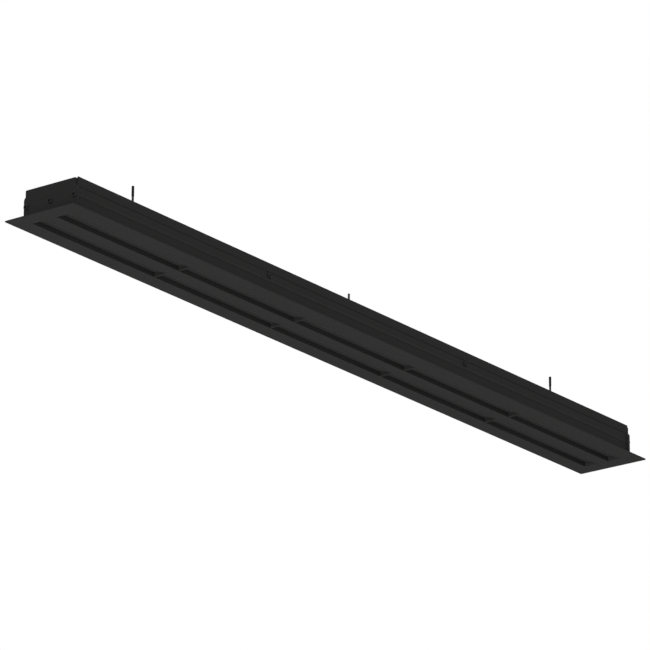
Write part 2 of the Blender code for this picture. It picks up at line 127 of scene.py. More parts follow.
# which of X, Y and Z an outline's two directions and its run lie along
LIES_IN = {"X": [1, 2, 0], "Y": [2, 0, 1], "Z": [0, 1, 2]}


def carried(name, outlines, run, low, high, rim, steps=2):
    """A solid whose section, an outline and its holes, is carried along X, Y or Z from low to high.

    At both ends the section draws in along a quarter circle of radius rim, depth rim * (1 - sin a) at
    rim * (1 - cos a) from the end, so that every edge is rounded. The ends are closed with triangles.
    """
    outlines = [wound(np.asarray(line, float), -1 if i else 1) for i, line in enumerate(outlines)]
    angle = np.linspace(0.0, math.pi / 2, steps + 1 if rim else 1)
    depth = rim * (1 - np.sin(angle))
    station = rim * (1 - np.cos(angle))
    depths = np.concatenate([depth, depth[::-1]])
    stations = np.concatenate([low + station, high - station[::-1]])
    points, faces, first = [], [], 0
    for line in outlines:
        count = len(line)
        rings = np.stack([drawn_in(line, d) for d in depths])
        along = np.broadcast_to(stations[:, None, None], (len(stations), count, 1))
        points.append(np.concatenate([rings, along], axis=2).reshape(-1, 3))
        ring, place = np.meshgrid(np.arange(len(stations) - 1), np.arange(count), indexing="ij")
        after = (place + 1) % count
        here, above = ring * count, (ring + 1) * count
        quads = [here + place, here + after, above + after, above + place]
        faces += (first + np.stack(quads, axis=-1).reshape(-1, 4)).tolist()
        first += len(stations) * count
    starts = np.cumsum([0] + [len(line) * len(stations) for line in outlines])[:-1]
    low_ring = np.concatenate([start + np.arange(len(line)) for start, line in zip(starts, outlines)])
    step_up = np.concatenate([np.full(len(line), len(line) * (len(stations) - 1)) for line in outlines])
    end_lines = [drawn_in(line, depths[0]) for line in outlines]
    flat = np.concatenate(end_lines)
    cap = np.array(tessellate_polygon([np.pad(line, ((0, 0), (0, 1))).tolist() for line in end_lines]))
    one, two, three = flat[cap[:, 0]], flat[cap[:, 1]], flat[cap[:, 2]]
    cross = (two - one)[:, 0] * (three - one)[:, 1] - (two - one)[:, 1] * (three - one)[:, 0]
    cap[cross < 0] = cap[cross < 0][:, ::-1]
    faces += low_ring[cap[:, ::-1]].tolist()
    faces += (low_ring + step_up)[cap].tolist()
    place = np.empty((first, 3))
    place[:, LIES_IN[run]] = np.concatenate(points)
    return shaped(name, place, faces)


def shaped(name, points, faces):
    """A new object at the origin, unturned, with its place in its mesh."""
    mesh = bpy.data.meshes.new(name)
    mesh.from_pydata(points.tolist(), [], faces)
    piece = bpy.data.objects.new(name, mesh)
    bpy.context.scene.collection.objects.link(piece)
    return piece


def settled(piece):
    """The piece's one modifier is carried out and taken off, and its result kept as the mesh."""
    graph = bpy.context.evaluated_depsgraph_get()
    mesh = bpy.data.meshes.new_from_object(piece.evaluated_get(graph))
    piece.modifiers.clear()
    piece.data = mesh


def machined(piece, operation, tool):
    """Cuts the tool out of the piece, or joins it on, and keeps only the result."""
    step = piece.modifiers.new("machining", "BOOLEAN")
    step.operation = operation
    step.solver = "EXACT"
    step.object = tool
    settled(piece)
    bpy.data.objects.remove(tool, do_unlink=True)


def circle(centre, radius, steps):
    return arc(centre, radius, 0.0, math.tau, steps)[:-1, :2]


def measured(items, name, width=1, kind=float):
    """One number or vector of each vertex, edge, corner or face of a mesh, as an array."""
    values = np.empty(len(items) * width, kind)
    items.foreach_get(name, values)
    return values.reshape(-1, width) if width > 1 else values


def edge_thinning(mesh):
    """Stores how thin the finish lies on each point: 0 on a flat, up to 1 on a rounded edge.

    The mean of the normals round a point is shorter than 1 by a share that grows with the edge's turn,
    and the finish thins as the share goes from 0.01 to 0.04. It counts only where every face round the
    point is a narrow one, by its area over its longest side, so that no wide face is touched.
    """
    corner_point = measured(mesh.loops, "vertex_index", kind=int)
    corner_edge = measured(mesh.loops, "edge_index", kind=int)
    start = measured(mesh.polygons, "loop_start", kind=int)
    sides = measured(mesh.polygons, "loop_total", kind=int)
    span = measured(mesh.vertices, "co", 3)[measured(mesh.edges, "vertices", 2, int)]
    longest = np.maximum.reduceat(np.linalg.norm(span[:, 1] - span[:, 0], axis=1)[corner_edge], start)
    width = np.repeat(measured(mesh.polygons, "area") / np.maximum(longest, 1e-9), sides)
    widest = np.zeros(len(mesh.vertices))
    np.maximum.at(widest, corner_point, width)
    total = np.zeros((len(mesh.vertices), 3))
    np.add.at(total, corner_point, np.repeat(measured(mesh.polygons, "normal", 3), sides, axis=0))
    count = np.maximum(np.bincount(corner_point, minlength=len(mesh.vertices)), 1)
    shortened = 1 - np.linalg.norm(total, axis=1) / count
    thin = np.clip((shortened - 0.01) / 0.03, 0.0, 1.0)
    thin[widest > NARROW_FACE] = 0.0
    mesh.attributes.new("edge", "FLOAT", "POINT").data.foreach_set("value", thin)


def fitted(piece, finish, body, slot, *nodes):
    """Shades the piece's rounded edges smooth, gives it its finish, and sets it on its body for its nodes."""
    piece.data.shade_smooth()
    piece.data.set_sharp_from_angle(angle=SHARP_FROM)
    flat_faces = piece.modifiers.new("flat_faces", "WEIGHTED_NORMAL")
    flat_faces.keep_sharp = True
    flat_faces.weight = 100
    settled(piece)
    edge_thinning(piece.data)
    piece.data.materials.clear()
    piece.data.materials.append(finish)
    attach(piece, body)
    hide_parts(*nodes)
    return piece


def coat_nodes(name, roughness, specular):
    """A new material, its node tree and its shader, with the shader's roughness and specular level set."""
    made = bpy.data.materials.new(name)
    made.use_nodes = True
    tree = made.node_tree
    shader = tree.nodes["Principled BSDF"]
    shader.inputs["Roughness"].default_value = roughness
    shader.inputs["Specular IOR Level"].default_value = specular
    return made, tree, shader


def noise(tree, scale, detail, stretch=(1.0, 1.0, 1.0)):
    """Noise on the piece's own coordinates, in features per metre, stretched along an axis where below 1."""
    place = tree.nodes.new("ShaderNodeTexCoord")
    mapping = tree.nodes.new("ShaderNodeMapping")
    mapping.inputs["Scale"].default_value = stretch
    texture = tree.nodes.new("ShaderNodeTexNoise")
    texture.inputs["Scale"].default_value = scale
    texture.inputs["Detail"].default_value = detail
    tree.links.new(place.outputs["Object"], mapping.inputs["Vector"])
    tree.links.new(mapping.outputs["Vector"], texture.inputs["Vector"])
    return texture.outputs["Fac"]


def ranged(tree, value, low, high, at_low, at_high):
    """The value carried from the range low to high onto the range at_low to at_high."""
    step = tree.nodes.new("ShaderNodeMapRange")
    step.inputs["From Min"].default_value = low
    step.inputs["From Max"].default_value = high
    step.inputs["To Min"].default_value = at_low
    step.inputs["To Max"].default_value = at_high
    tree.links.new(value, step.inputs["Value"])
    return step.outputs["Result"]


def reckoned(tree, operation, one, two):
    """One of Math's operations on two values, each of them a socket or a number."""
    step = tree.nodes.new("ShaderNodeMath")
    step.operation = operation
    for socket, value in zip(step.inputs, (one, two)):
        if isinstance(value, (int, float)):
            socket.default_value = value
        else:
            tree.links.new(value, socket)
    return step.outputs["Value"]


def times(tree, one, two):
    return reckoned(tree, "MULTIPLY", one, two)


def swing(tree, value, share):
    """Noise, which lies mostly between 0.3 and 0.7, carried onto 1 - share to 1 + share."""
    return ranged(tree, value, 0.3, 0.7, 1 - share, 1 + share)


def tinted(tree, value, colour):
    """A colour times a value."""
    split = tree.nodes.new("ShaderNodeCombineColor")
    for channel, share in zip(("Red", "Green", "Blue"), colour):
        tree.links.new(times(tree, value, share), split.inputs[channel])
    return split.outputs["Color"]


def embossed(tree, shader, height, strength, distance):
    """The height as relief on the shader's normal."""
    bump = tree.nodes.new("ShaderNodeBump")
    bump.inputs["Strength"].default_value = strength
    bump.inputs["Distance"].default_value = distance
    tree.links.new(height, bump.inputs["Height"])
    tree.links.new(bump.outputs["Normal"], shader.inputs["Normal"])


def powder_coat(name, grey, run):
    """Fine matte black powder: an even grey with soft clouds and a pinhead grain, paler where it is thin.

    run stretches the faint lines left by the die or the rolls, which show through the coat.
    """
    made, tree, shader = coat_nodes(name, 0.6, 0.03)
    cloud = noise(tree, 9.0, 3.0)
    grain = noise(tree, 2600.0, 2.0)
    die_line = noise(tree, 700.0, 2.0, run)
    edge = tree.nodes.new("ShaderNodeAttribute")
    edge.attribute_name = "edge"
    patchy = ranged(tree, noise(tree, 160.0, 4.0), 0.35, 0.65, 0.2, 1.0)
    thin = times(tree, edge.outputs["Fac"], patchy)
    shade = times(tree, swing(tree, cloud, 0.02), swing(tree, grain, 0.02))
    shade = times(tree, shade, swing(tree, die_line, 0.01))
    shade = times(tree, shade, ranged(tree, thin, 0.0, 1.0, 1.0, 1.22))
    tree.links.new(tinted(tree, shade, (grey, grey * 1.01, grey * 0.985)), shader.inputs["Base Color"])
    rough = ranged(tree, grain, 0.2, 0.8, 0.56, 0.66)
    rough = reckoned(tree, "SUBTRACT", rough, times(tree, thin, 0.12))
    tree.links.new(rough, shader.inputs["Roughness"])
    relief = reckoned(tree, "ADD", grain, times(tree, die_line, 0.5))
    embossed(tree, shader, relief, 0.12, 0.00003)
    return made


def side_rail_section():
    """Section of the rear rail in Y and Z, as rows of place and corner radius, from the slot's edge round."""
    radius = (RIDGE_HALF**2 + RIDGE_OUT**2) / (2 * RIDGE_OUT)
    spread = math.asin(RIDGE_HALF / radius)
    port = (PORT_Y, PORT_Z)
    inside = math.acos((WALL_INNER - PORT_Y) / PORT_OUTER)
    slit_outer = math.asin(PORT_SLIT / 2 / PORT_OUTER)
    slit_bore = math.asin(PORT_SLIT / 2 / PORT_BORE)
    face_and_wall = [
        (SLOT_SIDE, 0.0, 0.00025),
        (FLANGE_EDGE, 0.0, 0.00015),
        (FLANGE_EDGE, FLANGE, 0.00015),
        (WALL_OUTER, FLANGE, 0.0005),
    ]
    lip = [
        (WALL_OUTER, GROOVE_FOOT, 0.0001),
        (WALL_OUTER - GROOVE_IN, GROOVE_FOOT + GROOVE_IN, 0.0001),
        (LEDGE_Y, LEDGE_Z, 0.00015),
        (LIP_TOP_Y, LIP_TOP, 0.0002),
        (LIP_TOP_Y - WALL, LIP_TOP, 0.0003),
        (LEDGE_Y - WALL, LEDGE_Z + WALL / 2, 0.0004),
        (WALL_INNER, LEDGE_Z + 0.0012, 0.0004),
    ]
    leg = [
        (WALL_INNER, FLANGE, 0.0006),
        (SLOT_SIDE + WALL, FLANGE, 0.0006),
        (SLOT_SIDE + WALL, LEG_TOP, 0.0004),
        (SLOT_SIDE, LEG_TOP, 0.0004),
    ]
    return np.vstack([
        face_and_wall,
        arc((WALL_OUTER + RIDGE_OUT - radius, PORT_Z), radius, -spread, spread, 14),
        lip,
        arc(port, PORT_OUTER, inside, math.pi - slit_outer, 8),
        arc(port, PORT_BORE, math.pi - slit_bore, slit_bore - math.pi, 28),
        arc(port, PORT_OUTER, slit_outer - math.pi, -inside, 8),
        leg,
    ])


def drill_bit(x, side, radius):
    """A round cutter through a side rail's wall and the tab behind it, where a side screw goes."""
    ends = sorted((side * (WALL_OUTER + 0.002), side * (WALL_INNER - 0.004)))
    return carried("drill_bit", [circle((SIDE_SCREW_Z, x), radius, 32)], "Y", *ends, 0.0)


RAIL_GREY = 0.0206
rail_coat = powder_coat("rail_powder_coat", RAIL_GREY, (0.004, 1.0, 1.0))
rail_line = eased(side_rail_section())
for place, side in (("front", -1), ("rear", 1)):
    rail = carried(f"side_rail_{place}", [rail_line * (side, 1)], "X", -RAIL_END, RAIL_END, SAWN_RIM)
    for x in (-SIDE_SCREW_X, SIDE_SCREW_X):
        machined(rail, "DIFFERENCE", drill_bit(x, side, SIDE_HOLE))
    fitted(rail, rail_coat, "grille_frame", "rails", f"{place}_rail")

# The centre rail is one more extrusion: the bar between the slots, a web that holds the middle screw port,
# and on top a channel with two lips, in which the rods' nuts slide. It is coated like the side rails.

HALF_BAR = 0.00675
RAIL_TOP = 0.029
CHANNEL_HALF = 0.0025


def centre_rail_section():
    """Outer line of the centre rail with its channel and port, then the closed chamber under the web."""
    inner = HALF_BAR - WALL
    web = math.asin(WALL / 2 / PORT_OUTER)
    slit_outer = math.asin(PORT_SLIT / 2 / PORT_OUTER)
    slit_bore = math.asin(PORT_SLIT / 2 / PORT_BORE)
    up = math.pi / 2
    port = (0.0, PORT_Z)
    under = RAIL_TOP - WALL
    right = np.array([
        (CHANNEL_HALF, RAIL_TOP, 0.0003),
        (CHANNEL_HALF, under, 0.0003),
        (inner, under, 0.0003),
        (inner, PORT_Z + WALL / 2, 0.0003),
    ])
    left = right[::-1] * (-1, 1, 1)
    box = [
        (-HALF_BAR, RAIL_TOP, 0.0004),
        (-HALF_BAR, 0.0, 0.00025),
        (HALF_BAR, 0.0, 0.00025),
        (HALF_BAR, RAIL_TOP, 0.0004),
    ]
    outer = np.vstack([
        right,
        arc(port, PORT_OUTER, web, up - slit_outer, 8),
        arc(port, PORT_BORE, up - slit_bore, up + slit_bore - math.tau, 28),
        arc(port, PORT_OUTER, up + slit_outer, math.pi - web, 8),
        left,
        box,
    ])
    chamber = np.vstack([
        [(-inner, FLANGE, 0.0006), (inner, FLANGE, 0.0006), (inner, PORT_Z - WALL / 2, 0.0003)],
        arc(port, PORT_OUTER, -web, web - math.pi, 16),
        [(-inner, PORT_Z - WALL / 2, 0.0003)],
    ])
    return [eased(outer), eased(chamber)]


centre = carried("centre_rail_section", centre_rail_section(), "X", -RAIL_END, RAIL_END, SAWN_RIM)
fitted(centre, rail_coat, "grille_frame", "rails", "centre_rail")

# Each end cap is an upright aluminium plate over the rails' ends with a strip that carries the face flange
# round the end, welded at its foot and coated with the rest. Three holes take the end screws, and two blind
# sockets in its inner face hold the hinge rods.

BODY_END = 0.5
PLATE = 0.003
CAP_REACH = 0.5209
PLATE_HALF = 0.0356
PLATE_TOP = 0.0373
SHOULDER_TOP = 0.0293
SHOULDER_DROP = 0.0043
SHOULDER_IN = 0.0021
TOP_CUT = 0.0008
PLATE_RIM = 0.00012
END_HOLE = 0.00155
STRIP_CORNER = 0.0012
STRIP_RIM = 0.0001
WELD_HALF = 0.0345
WELD_RIM = 0.0001
# the weld's outline from the plate's foot: outwards, up from the strip's back, and corner radius
WELD_LINE = np.array([
    (-0.0004, -0.0004, 0.0),
    (0.0011, -0.0004, 0.0),
    (0.0011, 0.0001, 0.0),
    (0.00035, 0.00035, 0.0006),
    (0.0001, 0.0011, 0.0),
    (-0.0004, 0.0011, 0.0),
])
HINGE_Z = 0.0018
HINGE_Y = {"front": -0.02365, "rear": 0.00875}
ROD_HOLE = 0.0011
SOCKET_DEEP = 0.0011


def end_plate_line():
    """The plate's outline in Y and Z: wide below, a quarter-ellipse shoulder, and narrower above."""
    angle = np.linspace(0.0, math.pi / 2, 9)
    shoulder = np.stack([
        PLATE_HALF - SHOULDER_IN * (1 - np.cos(angle)),
        SHOULDER_TOP - SHOULDER_DROP * (1 - np.sin(angle)),
        np.zeros(9),
    ], axis=1)
    narrow = PLATE_HALF - SHOULDER_IN
    top = [(narrow, PLATE_TOP - TOP_CUT, 0.0006), (narrow - TOP_CUT, PLATE_TOP, 0.0006)]
    right = np.vstack([[(PLATE_HALF, FLANGE / 2, 0.0)], shoulder, top])
    return eased(np.vstack([right, right[::-1] * (-1, 1, 1)]))


cap_coat = powder_coat("end_cap_powder_coat", RAIL_GREY, (1.0, 0.02, 1.0))
# painted shade: the end cap's coat at 0.6 of its grey, for the shadow on the notch's sides
notch_shade_coat = powder_coat("notch_painted_shade_coat", RAIL_GREY * 0.6, (1.0, 0.02, 1.0))
# painted light: the same black powder painted paler on the plate's inner face, which shows through the slots
inside_light_coat = powder_coat("cap_inside_painted_light_coat", 0.037, (1.0, 0.02, 1.0))
for place, side in (("left", -1), ("right", 1)):
    holes = [circle((y, PORT_Z), END_HOLE, 32) for y in (-PORT_Y, 0.0, PORT_Y)]
    foot = side * (BODY_END + PLATE)
    ends = sorted((side * BODY_END, foot))
    cap = carried(f"end_cap_{place}", [end_plate_line(), *holes], "X", *ends, PLATE_RIM)
    strip = eased([
        (side * BODY_END, -FLANGE_EDGE, 0.00015),
        (side * CAP_REACH, -FLANGE_EDGE, STRIP_CORNER),
        (side * CAP_REACH, FLANGE_EDGE, STRIP_CORNER),
        (side * BODY_END, FLANGE_EDGE, 0.00015),
    ], 5)
    machined(cap, "UNION", carried("flange_strip", [strip], "Z", 0.0, FLANGE, STRIP_RIM))
    weld = eased(WELD_LINE * (side, 1, 1) + (foot, FLANGE, 0.0))
    machined(cap, "UNION", carried("weld_seam", [weld[:, ::-1]], "Y", -WELD_HALF, WELD_HALF, WELD_RIM))
    for y in HINGE_Y.values():
        ends = sorted((side * (BODY_END - 0.001), side * (BODY_END + SOCKET_DEEP)))
        socket = carried("socket", [circle((y, HINGE_Z), ROD_HOLE, 24)], "X", *ends, 0.0)
        machined(cap, "DIFFERENCE", socket)
    fitted(cap, cap_coat, "grille_frame", "end_caps", f"{place}_end_cap")
    cap.data.materials.append(notch_shade_coat)
    cap.data.materials.append(inside_light_coat)
    middle = measured(cap.data.polygons, "center", 3)
    normal = measured(cap.data.polygons, "normal", 3)
    # painted shade: the shoulders and the narrow top's sides take the coat at 0.6 of its grey, for the shadow
    # in the notch
    notch_shade_faces = np.abs(middle[:, 1]) > PLATE_HALF - SHOULDER_IN - 0.00005
    notch_shade_faces &= (middle[:, 2] > SHOULDER_TOP - 0.0006) & (middle[:, 2] < PLATE_TOP - 0.0005)
    # painted light: the inner face takes the paler copy of the coat
    inside = normal[:, 0] * side < -0.9
    cap.data.polygons.foreach_set("material_index", notch_shade_faces.astype(np.int32) + 2 * inside)

# The spacers are small aluminium plates set across each slot, 200 mm apart. They keep its walls apart and
# carry the blades' long hinge rod near their lower corner. They are sheared, punched and coated black.

SPACER_X = (-0.3, -0.1, 0.1, 0.3)
SPACER_HALF = 0.0006
SPACER_TOP = 0.022
SLOT_LOW = {"front": -0.02565, "rear": 0.00675}
SLOT_WIDTH = 0.0189
SPACER_GAP = 0.0001
SPACER_CUT = 0.0025  # corners cut off at the top
SPACER_RIM = 0.00018

# painted light: the spacers take the rails' black powder painted paler, for light on their faces inside the
# slots
spacer_light_coat = powder_coat("spacer_painted_light_coat", 0.030, (1.0, 1.0, 0.02))
for slot_name, low in SLOT_LOW.items():
    near, far = low + SPACER_GAP, low + SLOT_WIDTH - SPACER_GAP
    plate_line = eased([
        (near, SPACER_GAP, 0.0003),
        (far, SPACER_GAP, 0.0003),
        (far, SPACER_TOP - SPACER_CUT, 0.0008),
        (far - SPACER_CUT, SPACER_TOP, 0.0008),
        (near + SPACER_CUT, SPACER_TOP, 0.0008),
        (near, SPACER_TOP - SPACER_CUT, 0.0008),
    ])
    rod_hole = circle((HINGE_Y[slot_name], HINGE_Z), ROD_HOLE, 32)
    for number, x in enumerate(SPACER_X, 1):
        ends = (x - SPACER_HALF, x + SPACER_HALF)
        spacer = carried(f"slot_spacer_{slot_name}_{number}", [plate_line, rod_hole], "X", *ends, SPACER_RIM)
        fitted(spacer, spacer_light_coat, "grille_frame", "spacers", f"{slot_name}_spacer_{number}")

# One drawn steel rod per slot is the hinge of all its blades. It runs through the spacers' holes into the
# end plates' sockets, and is cut with a small chamfer at both ends and plated with zinc.

ROD = 0.0008
ROD_END = 0.5008
ROD_CHAMFER = 0.0002


def revolved(radius, height, steps, lift=None):
    """Points and faces of a solid of revolution that is closed at both of its poles.

    radius is one value per ring or a ring-by-angle grid, height one value per ring, and lift a grid that
    is added to it. Row k and angle t give the point (r cos t, r sin t, z). The first and last heights
    are the poles.
    """
    angle = np.linspace(0.0, math.tau, steps, endpoint=False)
    height = np.asarray(height, float)
    rings = len(height) - 2
    inner = np.broadcast_to(np.asarray(radius, float).reshape(len(height), -1)[1:-1], (rings, steps))
    rise = np.broadcast_to(height[1:-1, None], (rings, steps))
    if lift is not None:
        rise = rise + lift[1:-1]
    grid = np.stack([inner * np.cos(angle), inner * np.sin(angle), rise], axis=-1)
    points = np.concatenate([grid.reshape(-1, 3), [(0.0, 0.0, height[0]), (0.0, 0.0, height[-1])]])
    ring, place = np.meshgrid(np.arange(rings - 1), np.arange(steps), indexing="ij")
    after = (place + 1) % steps
    here, below = ring * steps, (ring + 1) * steps
    quads = np.stack([here + place, below + place, below + after, here + after], axis=-1).reshape(-1, 4)
    spoke = np.arange(steps)
    following = (spoke + 1) % steps
    pole = np.full(steps, rings * steps)
    last = (rings - 1) * steps
    first_fan = np.stack([pole, spoke, following], axis=1)
    last_fan = np.stack([pole + 1, last + following, last + spoke], axis=1)
    return points, quads.tolist() + first_fan.tolist() + last_fan.tolist()


def lies_along(points, axis, foot):
    """The points with their own Z laid along the axis, +X, -X, +Y, -Y or Z, and their origin at foot."""
    turns = {
        "X": ((0, 0, 1), (1, 0, 0), (0, 1, 0)),
        "-X": ((0, 0, -1), (-1, 0, 0), (0, 1, 0)),
        "Y": ((1, 0, 0), (0, 0, 1), (0, -1, 0)),
        "-Y": ((1, 0, 0), (0, 0, -1), (0, 1, 0)),
        "Z": ((1, 0, 0), (0, 1, 0), (0, 0, 1)),
    }
    return points @ np.array(turns[axis], float).T + np.asarray(foot, float)


def zinc_plate(name, grey, run):
    """Dull zinc plating on steel: cloudy patches, fine grain and faint drawing lines along run."""
    made, tree, shader = coat_nodes(name, 0.42, 0.5)
    shader.inputs["Metallic"].default_value = 0.85
    cloud = noise(tree, 240.0, 4.0)
    grain = noise(tree, 5200.0, 3.0)
    drawn = noise(tree, 1800.0, 2.0, run)
    shade = times(tree, swing(tree, cloud, 0.2), swing(tree, grain, 0.08))
    shade = times(tree, shade, swing(tree, drawn, 0.1))
    tree.links.new(tinted(tree, shade, (grey, grey, grey * 0.97)), shader.inputs["Base Color"])
    tree.links.new(ranged(tree, cloud, 0.3, 0.7, 0.34, 0.52), shader.inputs["Roughness"])
    embossed(tree, shader, reckoned(tree, "ADD", grain, drawn), 0.2, 0.00002)
    return made


rod_zinc = zinc_plate("hinge_rod_zinc", 0.15, (0.01, 1.0, 1.0))
half_radius = [0.0, ROD - ROD_CHAMFER, ROD]
half_height = np.array([ROD_END, ROD_END, ROD_END - ROD_CHAMFER])
points, faces = revolved(half_radius + half_radius[::-1], np.append(half_height, -half_height[::-1]), 24)
for slot_name, y in HINGE_Y.items():
    rod = shaped(f"hinge_wire_{slot_name}", lies_along(points, "X", (0.0, y, HINGE_Z)), faces)
    fitted(rod, rod_zinc, "grille_frame", "hinge_rods", f"{slot_name}_hinge_rod")

# Ten deflector blades, five in each slot, steer the air. Each is an extruded aluminium vane with a slit
# barrel that snaps on the hinge rod. Its slightly bowed underside closes the slot near the visible face.

BARREL = 0.0017
BARREL_BORE = 0.0011
VANE = 0.0008
VANE_REACH = 0.0147
VANE_ROOT = 0.0008
VANE_TIP = 0.0026
VANE_BULGE = 0.00025
BLADE_RIM = 0.00012
BLADE_ENDS = ((-0.4995, -0.3011), (-0.2989, -0.1011), (-0.0989, 0.0989), (0.1011, 0.2989), (0.3011, 0.4995))


def blade_section():
    """Section about the hinge line: a slit barrel, and a vane that bows 4 b t (1 - t) off its chord."""
    t = np.linspace(0.0, 1.0, 17)
    root = math.sqrt(BARREL**2 - VANE_ROOT**2)
    across = root + (VANE_REACH - root) * t
    under = VANE_ROOT + (VANE_TIP - VANE_ROOT) * t + 4 * VANE_BULGE * t * (1 - t)
    lower = np.stack([across, under, np.zeros(17)], axis=1)
    upper = lower[:0:-1] + (0.0, VANE, 0.0)
    tip = arc((VANE_REACH, VANE_TIP + VANE / 2), VANE / 2, -math.pi / 2, math.pi / 2, 8)[1:-1]
    over = math.asin((VANE_ROOT + VANE) / BARREL)
    slit_from, slit_to = math.radians(105), math.radians(150)
    barrel = arc((0.0, 0.0), BARREL, over, slit_from, 4)
    bore = arc((0.0, 0.0), BARREL_BORE, slit_from, slit_to - math.tau, 32)
    back = arc((0.0, 0.0), BARREL, slit_to, math.tau + math.atan2(VANE_ROOT, root), 28)[:-1]
    return np.vstack([lower, tip, upper, barrel, bore, back])[:, :2]


blade_coat = powder_coat("blade_powder_coat", 0.0235, (0.004, 1.0, 1.0))
blade_line = blade_section()
for slot_name in SLOT_LOW:
    at = (HINGE_Y[slot_name], HINGE_Z)
    for number, ends in enumerate(BLADE_ENDS, 1):
        blade = carried(f"deflector_{slot_name}_{number}", [blade_line + at], "X", *ends, BLADE_RIM)
        body = f"{slot_name}_blade_{number}"
        fitted(blade, blade_coat, body, "blades", body)

# Two tie bars hold the side rails together over the centre rail. Each is a strip of zinc-plated steel,
# bent down at both ends into a tab behind a rail's wall, with a tapped hole for the side screw.

TIE_HALF = 0.009
TIE = 0.002
TIE_UNDER = 0.0293
TIE_FOOT = 0.022
TIE_OUTER = 0.0317
TIE_BEND = 0.001
TIE_RIM = 0.0002
TIE_HOLE = 0.00125


def tie_bar_section():
    """Half of the strip's outline with a bend of inner radius b and outer radius b + t, then its mirror."""
    bend = (TIE_OUTER - TIE - TIE_BEND, TIE_UNDER - TIE_BEND)
    right = np.vstack([
        arc(bend, TIE_BEND, math.pi / 2, 0.0, 10),
        [(TIE_OUTER - TIE, TIE_FOOT, 0.0003), (TIE_OUTER, TIE_FOOT, 0.0003)],
        arc(bend, TIE_BEND + TIE, 0.0, math.pi / 2, 10),
    ])
    return eased(np.vstack([right, right[::-1] * (-1, 1, 1)]))


tie_zinc = zinc_plate("tie_bar_zinc", 0.26, (1.0, 0.01, 1.0))
for place, x in (("left", -SIDE_SCREW_X), ("right", SIDE_SCREW_X)):
    bar = carried(f"cross_strap_{place}", [tie_bar_section()], "X", x - TIE_HALF, x + TIE_HALF, TIE_RIM)
    for side in (-1, 1):
        machined(bar, "DIFFERENCE", drill_bit(x, side, TIE_HOLE))
    fitted(bar, tie_zinc, "grille_frame", "tie_bars", f"{place}_tie_bar")

# Ten blackened steel screws: three through each end plate into the rails' ports, and two through each side
# rail's wall into the tie bars. Each has a domed head with a hexagon socket, and a thread cut to the point.

HEAD = 0.0034
HEAD_RISE = 0.0020
HEAD_RIM = 0.0003
HEAD_GAP = 0.00005
SHANK = 0.00115
THREAD_DEPTH = 0.00022
SOCKET_FLATS = 0.0030
SOCKET_FLOOR = 0.0006  # over the seat
SOCKET_WALL = math.radians(34)  # where the dome begins, from its axis
SCREW_STEPS = 48


def screw_surface(length, pitch=0.0008, steps=SCREW_STEPS):
    """Points and faces of a screw about Z with its seat in Z = 0.

    Ring k and angle t give r(k, t): the socket's rings follow a hexagon of apothem a, a / cos(t off the
    nearest flat), the head's are circles on the dome z = rim + rise sqrt(1 - (r / R)^2), and the thread's
    are the shank's radius less a triangle wave of z / pitch - t / 2 pi.
    """
    angle = np.linspace(0.0, math.tau, steps, endpoint=False)
    off_flat = np.mod(angle, math.pi / 3) - math.pi / 6
    hexagon = SOCKET_FLATS / 2 / np.cos(off_flat)
    dome = HEAD_RISE - HEAD_RIM

    def on_dome(radius):
        return HEAD_RIM + dome * np.sqrt(np.maximum(1 - (radius / HEAD) ** 2, 0.0))

    floor = np.full(steps, SOCKET_FLOOR)
    socket = [0 * hexagon, 0.9 * hexagon, hexagon, hexagon, 1.06 * hexagon]
    socket_rise = [floor - 0.0003, floor, floor, on_dome(hexagon) - 0.0001, on_dome(1.06 * hexagon)]
    slope = np.linspace(SOCKET_WALL, math.pi / 2, 10)[:, None] + 0 * angle
    head, head_rise = HEAD * np.sin(slope), HEAD_RIM + dome * np.cos(slope)
    seat = [np.full(steps, r) for r in (HEAD - 0.00002, HEAD - 0.00015, SHANK)]
    seat_rise = [np.full(steps, z) for z in (0.0001, 0.0, 0.0)]
    rows = np.arange(0.0, length - SHANK, pitch / 5)[1:]
    wave = np.abs(np.mod(-rows[:, None] / pitch - angle / math.tau, 1.0) * 2 - 1)
    thread = SHANK - THREAD_DEPTH * wave
    point = np.linspace(1.0, 0.15, 5)[1:, None] * thread[-1]
    point_rise = -rows[-1] - (length - rows[-1]) * np.linspace(0.0, 0.9, 5)[1:]
    below = np.repeat(np.append(-rows, point_rise)[:, None], steps, 1)
    radius = np.vstack([socket, head, seat, thread, point, [0 * angle]])
    rise = np.vstack([socket_rise, head_rise, seat_rise, below, [0 * angle - length]])
    return revolved(radius, rise[:, 0], steps, rise - rise[:, :1])


def blackened(name, grey):
    """Black oxide on steel: near black, a little worn to grey on its edges, with fine turning marks."""
    made, tree, shader = coat_nodes(name, 0.4, 0.05)
    cloud = noise(tree, 900.0, 3.0)
    grain = noise(tree, 7000.0, 2.0)
    edge = tree.nodes.new("ShaderNodeAttribute")
    edge.attribute_name = "edge"
    shade = times(tree, swing(tree, cloud, 0.15), ranged(tree, edge.outputs["Fac"], 0.0, 1.0, 1.0, 1.3))
    tree.links.new(tinted(tree, shade, (grey, grey, grey)), shader.inputs["Base Color"])
    tree.links.new(ranged(tree, grain, 0.3, 0.7, 0.34, 0.5), shader.inputs["Roughness"])
    embossed(tree, shader, grain, 0.15, 0.00002)
    return made


def screwed_in(name, points, faces, axis, foot, node, socket_painted_tone):
    """A screw in its place. The surface's first two rings and first fan are its socket, which gets a grey of
    its own: painted shade in the end screws' recesses, painted light in the side screws'.
    """
    screw = shaped(name, lies_along(points, axis, foot), faces)
    fitted(screw, screw_black, "grille_frame", "screws", node)
    screw.data.materials.append(socket_painted_tone)
    # the socket's faces: painted shade in the end screws, painted light in the side screws
    painted_socket_faces = np.zeros(len(faces), np.int32)
    painted_socket_faces[:2 * SCREW_STEPS] = 1
    painted_socket_faces[-2 * SCREW_STEPS:-SCREW_STEPS] = 1
    screw.data.polygons.foreach_set("material_index", painted_socket_faces)


